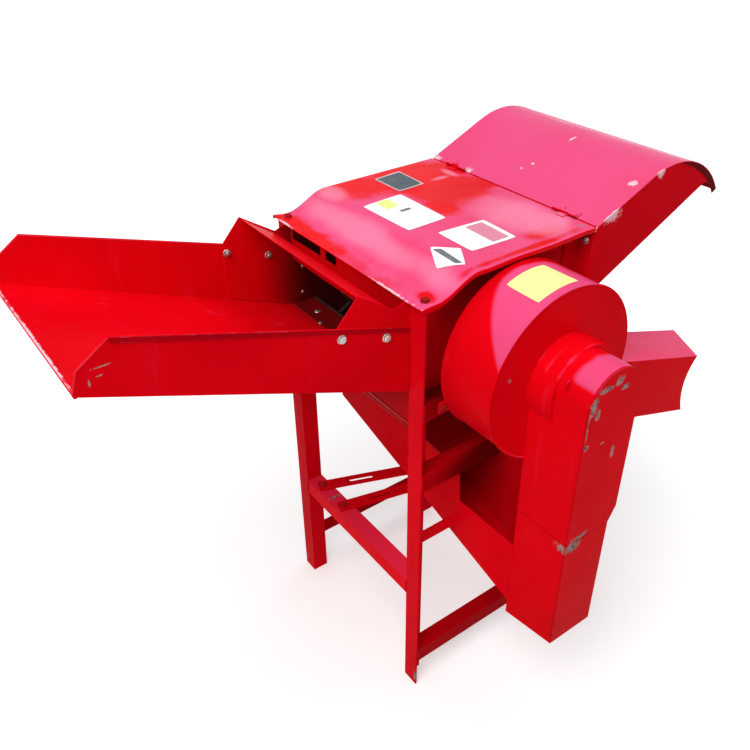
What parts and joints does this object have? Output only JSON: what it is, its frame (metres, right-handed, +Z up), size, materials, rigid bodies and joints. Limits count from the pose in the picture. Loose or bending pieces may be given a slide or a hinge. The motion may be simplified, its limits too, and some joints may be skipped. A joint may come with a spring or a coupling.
{
  "type": "threshing machine",
  "caption": "Small standing threshing machine: feed tray, spiked drum over a grate, lifting cover, straw hood, grain chute, suction duct and fan with a side outlet.",
  "frame": {"origin": "floor level, at the middle of the footprint of the whole machine", "axes": "+X from the feed tray to the straw hood, +Y from the fan side to the pulley side, +Z up"},
  "size_m": [1.3446, 0.808, 1.1262],
  "materials": {
    "sheet_paint": "gloss",
    "frame_paint": "gloss",
    "cover_paint": "gloss",
    "bolt_steel": "zinc plated",
    "bright_steel": "turned",
    "dark_steel": "raw",
    "cast_iron": "painted casting"
  },
  "bodies": {
    "frame": {"front_legs": "frame_paint", "back_legs": "frame_paint", "side_rails": "frame_paint", "bottom_rails": "frame_paint", "mid_rails": "frame_paint", "bearing_rails": "frame_paint", "motor_bars": "frame_paint", "bar_bolts": "bolt_steel", "chute_stays": "frame_paint", "end_walls": "sheet_paint", "left_wall": "sheet_paint", "right_wall": "sheet_paint", "feed_ledge": "sheet_paint", "straw_ledge": "sheet_paint", "hopper_sheets": "sheet_paint", "chute_floor": "sheet_paint", "chute_sides": "sheet_paint", "chute_back": "sheet_paint", "grate_rods": "dark_steel", "bearing_blocks": "cast_iron", "bearing_bolts": "bolt_steel", "tray_floor": "sheet_paint", "tray_walls": "sheet_paint", "tray_bolts": "bolt_steel", "throat_roof": "sheet_paint", "hood_top": "sheet_paint", "hood_cheeks": "sheet_paint", "hood_bolts": "bolt_steel", "hood_hinge_leaves": "cover_paint", "hinge_pins": "bright_steel", "lock_tabs": "frame_paint", "fan_wrap": "sheet_paint", "fan_front_plate": "sheet_paint", "fan_back_plate": "sheet_paint", "fan_bolts": "bolt_steel", "fan_outlet": "sheet_paint", "upper_duct": "sheet_paint", "lower_duct": "sheet_paint"},
    "rotor": {"shaft": "bright_steel", "drum_discs": "dark_steel", "drum_bars": "dark_steel", "fan_wheel": "dark_steel", "pulley": "cast_iron"},
    "cover": {"cover": "cover_paint", "cover_hinge_leaves": "cover_paint", "cover_screws": "bolt_steel"}
  },
  "joints": [
    {"name": "rotor_spin", "type": "hinge", "parent": "frame", "child": "rotor", "pos_m": [0.10472, 0.09, 0.864], "axis": [0, 1, 0], "continuous": true},
    {"name": "cover_lift", "type": "hinge", "parent": "frame", "child": "cover", "pos_m": [0.30272, 0.09, 1.0515], "axis": [0, 1, 0], "range_deg": [0, 110]}
  ]
}
